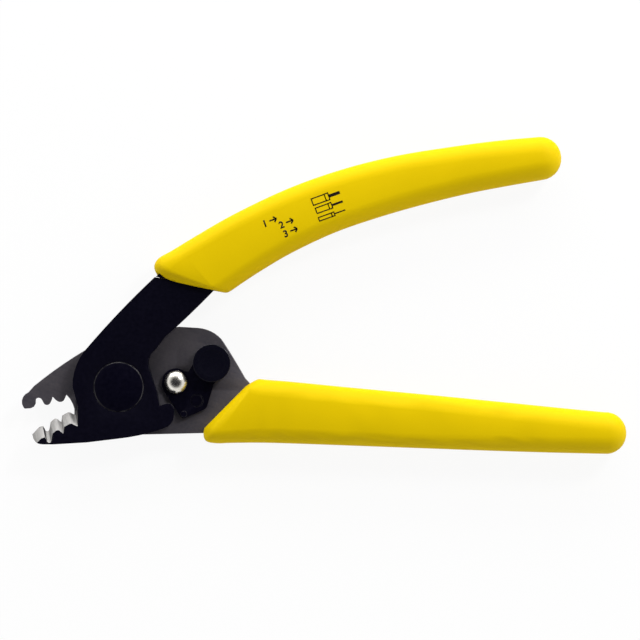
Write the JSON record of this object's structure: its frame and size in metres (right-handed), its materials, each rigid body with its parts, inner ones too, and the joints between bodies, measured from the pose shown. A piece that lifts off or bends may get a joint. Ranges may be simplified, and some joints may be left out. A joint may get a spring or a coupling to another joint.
{
  "type": "fibre stripper",
  "caption": "Two-lever optical fibre stripper with notched bypass jaws, sprung pivot hub, swinging lock lever and moulded handle grips.",
  "frame": {"origin": "centre of the bounding box in plan, on the flat that the grips' backs lie on", "axes": "+X from the jaws to the grip ends, +Y across the levers towards the bowed grip, +Z through the thickness, from the rear lever to the front lever"},
  "size_m": [0.1576, 0.0826, 0.01],
  "materials": {
    "ground_steel": "satin ground, dark tempered",
    "black_steel": "black oxide, satin",
    "grip_vinyl": "smooth moulded vinyl",
    "lock_black": "black, satin",
    "spring_wire": "drawn wire",
    "bright_rivet": "bright polished",
    "disc_black": "gloss black"
  },
  "bodies": {
    "rear_body": {"rear_lever": "ground_steel", "lower_grip": "grip_vinyl", "pivot_hub": "black_steel", "pivot_screw": "black_steel", "return_spring": "spring_wire", "lock_rivet": "bright_rivet", "lock_washer": "spring_wire"},
    "front_body": {"front_lever": "black_steel", "upper_grip": "grip_vinyl"},
    "lock_body": {"lock_plate": "lock_black", "thumb_disc": "disc_black"}
  },
  "joints": [
    {"name": "squeeze", "type": "hinge", "parent": "rear_body", "child": "front_body", "pos_m": [-0.05327, -0.02377, 0.005], "axis": [0, 0, 1], "range_deg": [-20, 0], "stiffness_Nm_per_rad": 0.15, "springref_deg": 28.65, "deforming": ["return_spring"]},
    {"name": "lock_swing", "type": "hinge", "parent": "rear_body", "child": "lock_body", "pos_m": [-0.03857, -0.02257, 0.005], "axis": [0, 0, 1], "range_deg": [-36, 0]}
  ]
}
